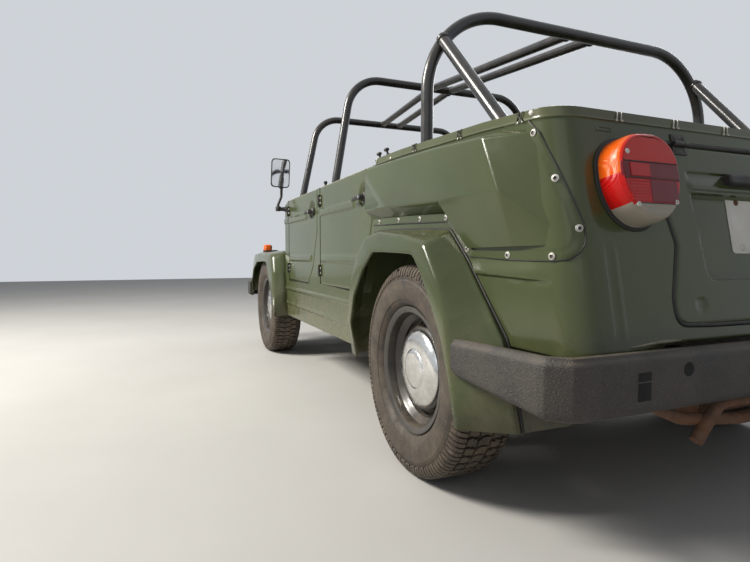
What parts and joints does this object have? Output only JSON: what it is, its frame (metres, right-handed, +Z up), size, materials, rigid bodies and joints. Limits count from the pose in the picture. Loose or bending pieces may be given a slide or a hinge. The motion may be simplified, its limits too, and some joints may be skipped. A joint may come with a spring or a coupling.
{
  "type": "open four-door military utility car",
  "caption": "Open rear-engined military utility car with flat ribbed doors, folding windscreen and a tubular roll cage over the cabin.",
  "frame": {"origin": "on the ground, midway between the bumpers and between the sides", "axes": "+X to the car's left, +Y to its rear, +Z up"},
  "size_m": [1.676, 3.78, 1.686],
  "materials": {
    "body_paint": "glossy olive green paint",
    "black_paint": "satin black paint",
    "bumper_black": "coarse textured black coating",
    "tyre_rubber": "dusty black rubber",
    "rim_black": "satin black paint",
    "hubcap_chrome": "polished chrome",
    "tail_lens": "clear red, amber and white lens",
    "head_lens": "ribbed clear glass",
    "amber_lens": "clear amber lens",
    "plate_white": "blank white plate",
    "screen_glass": "clear laminated glass",
    "axle_steel": "painted and dusty steel",
    "engine_metal": "dull cast alloy",
    "rusty_steel": "rusty bare steel",
    "seat_vinyl": "black grained vinyl",
    "wheel_plastic": "black moulded rim",
    "mirror_black": "black housing"
  },
  "bodies": {
    "body_shell": {"floor_pan": "body_paint", "side_frames": "body_paint", "front_body": "body_paint", "rear_body": "body_paint", "front_fenders": "body_paint", "rear_fenders": "body_paint", "air_intakes": "body_paint", "front_bumper": "bumper_black", "rear_bumper": "bumper_black", "headlamps": "head_lens", "indicators": "amber_lens", "tail_lamps": "tail_lens", "cage_bars": "black_paint", "front_hoop": "black_paint", "middle_hoop": "black_paint", "rear_hoop": "black_paint", "front_axle": "axle_steel", "rear_axle": "axle_steel", "engine_block": "engine_metal", "exhaust": "rusty_steel", "tow_bar": "rusty_steel", "seat_frames": "black_paint", "front_seats": "seat_vinyl", "rear_bench": "seat_vinyl", "dashboard": "body_paint", "steering_column": "black_paint", "mirrors": "mirror_black"},
    "front_lid": {"front_lid": "body_paint"},
    "windscreen": {"windscreen_frame": "body_paint", "windscreen_glass": "screen_glass"},
    "engine_lid": {"engine_lid": "body_paint", "number_plate": "plate_white"},
    "steering_wheel": {"steering_wheel": "wheel_plastic"},
    "knuckle_left": {"knuckle_left": "axle_steel"},
    "knuckle_right": {"knuckle_right": "axle_steel"},
    "front_door_left": {"front_door_left": "body_paint"},
    "wheel_front_left": {"tyre_front_left": "tyre_rubber", "rim_front_left": "rim_black", "hubcap_front_left": "hubcap_chrome"},
    "front_door_right": {"front_door_right": "body_paint"},
    "wheel_front_right": {"tyre_front_right": "tyre_rubber", "rim_front_right": "rim_black", "hubcap_front_right": "hubcap_chrome"},
    "rear_door_left": {"rear_door_left": "body_paint"},
    "wheel_rear_left": {"tyre_rear_left": "tyre_rubber", "rim_rear_left": "rim_black", "hubcap_rear_left": "hubcap_chrome"},
    "rear_door_right": {"rear_door_right": "body_paint"},
    "wheel_rear_right": {"tyre_rear_right": "tyre_rubber", "rim_rear_right": "rim_black", "hubcap_rear_right": "hubcap_chrome"}
  },
  "joints": [
    {"name": "steer_left", "type": "hinge", "parent": "body_shell", "child": "knuckle_left", "pos_m": [0.592, -1.25, 0.344], "axis": [0, 0, 1], "range_deg": [-28, 28]},
    {"name": "spin_front_left", "type": "hinge", "parent": "knuckle_left", "child": "wheel_front_left", "pos_m": [0.687, -1.25, 0.344], "axis": [1, 0, 0], "continuous": true},
    {"name": "spin_rear_left", "type": "hinge", "parent": "body_shell", "child": "wheel_rear_left", "pos_m": [0.687, 1.15, 0.344], "axis": [1, 0, 0], "continuous": true},
    {"name": "front_door_left_open", "type": "hinge", "parent": "body_shell", "child": "front_door_left", "pos_m": [0.7375, -0.69, 0.8], "axis": [0, 0, -1], "range_deg": [0, 70]},
    {"name": "rear_door_left_open", "type": "hinge", "parent": "body_shell", "child": "rear_door_left", "pos_m": [0.7375, 0.016, 0.8], "axis": [0, 0, -1], "range_deg": [0, 70]},
    {"name": "steer_right", "type": "hinge", "parent": "body_shell", "child": "knuckle_right", "pos_m": [-0.592, -1.25, 0.344], "axis": [0, 0, 1], "range_deg": [-28, 28]},
    {"name": "spin_front_right", "type": "hinge", "parent": "knuckle_right", "child": "wheel_front_right", "pos_m": [-0.687, -1.25, 0.344], "axis": [1, 0, 0], "continuous": true},
    {"name": "spin_rear_right", "type": "hinge", "parent": "body_shell", "child": "wheel_rear_right", "pos_m": [-0.687, 1.15, 0.344], "axis": [1, 0, 0], "continuous": true},
    {"name": "front_door_right_open", "type": "hinge", "parent": "body_shell", "child": "front_door_right", "pos_m": [-0.7375, -0.69, 0.8], "axis": [0, 0, 1], "range_deg": [0, 70]},
    {"name": "rear_door_right_open", "type": "hinge", "parent": "body_shell", "child": "rear_door_right", "pos_m": [-0.7375, 0.016, 0.8], "axis": [0, 0, 1], "range_deg": [0, 70]},
    {"name": "steering_wheel_turn", "type": "hinge", "parent": "body_shell", "child": "steering_wheel", "pos_m": [0.36, -0.43, 0.96], "axis": [0, 0.8192, 0.5736], "range_deg": [-400, 400]},
    {"name": "front_lid_open", "type": "hinge", "parent": "body_shell", "child": "front_lid", "pos_m": [0, -0.82, 1.05322], "axis": [-1, 0, 0], "range_deg": [0, 50]},
    {"name": "windscreen_raise", "type": "hinge", "parent": "front_lid", "child": "windscreen", "pos_m": [0, -0.82, 1.05322], "axis": [1, 0, 0], "range_deg": [-110, 0]},
    {"name": "engine_lid_open", "type": "hinge", "parent": "body_shell", "child": "engine_lid", "pos_m": [0, 1.74765, 0.99191], "axis": [1, 0, 0], "range_deg": [0, 75]}
  ],
  "couplings": [
    {"joint": "steer_right", "follows": "steer_left", "ratio": 1},
    {"joint": "steering_wheel_turn", "follows": "steer_left", "ratio": 14}
  ]
}
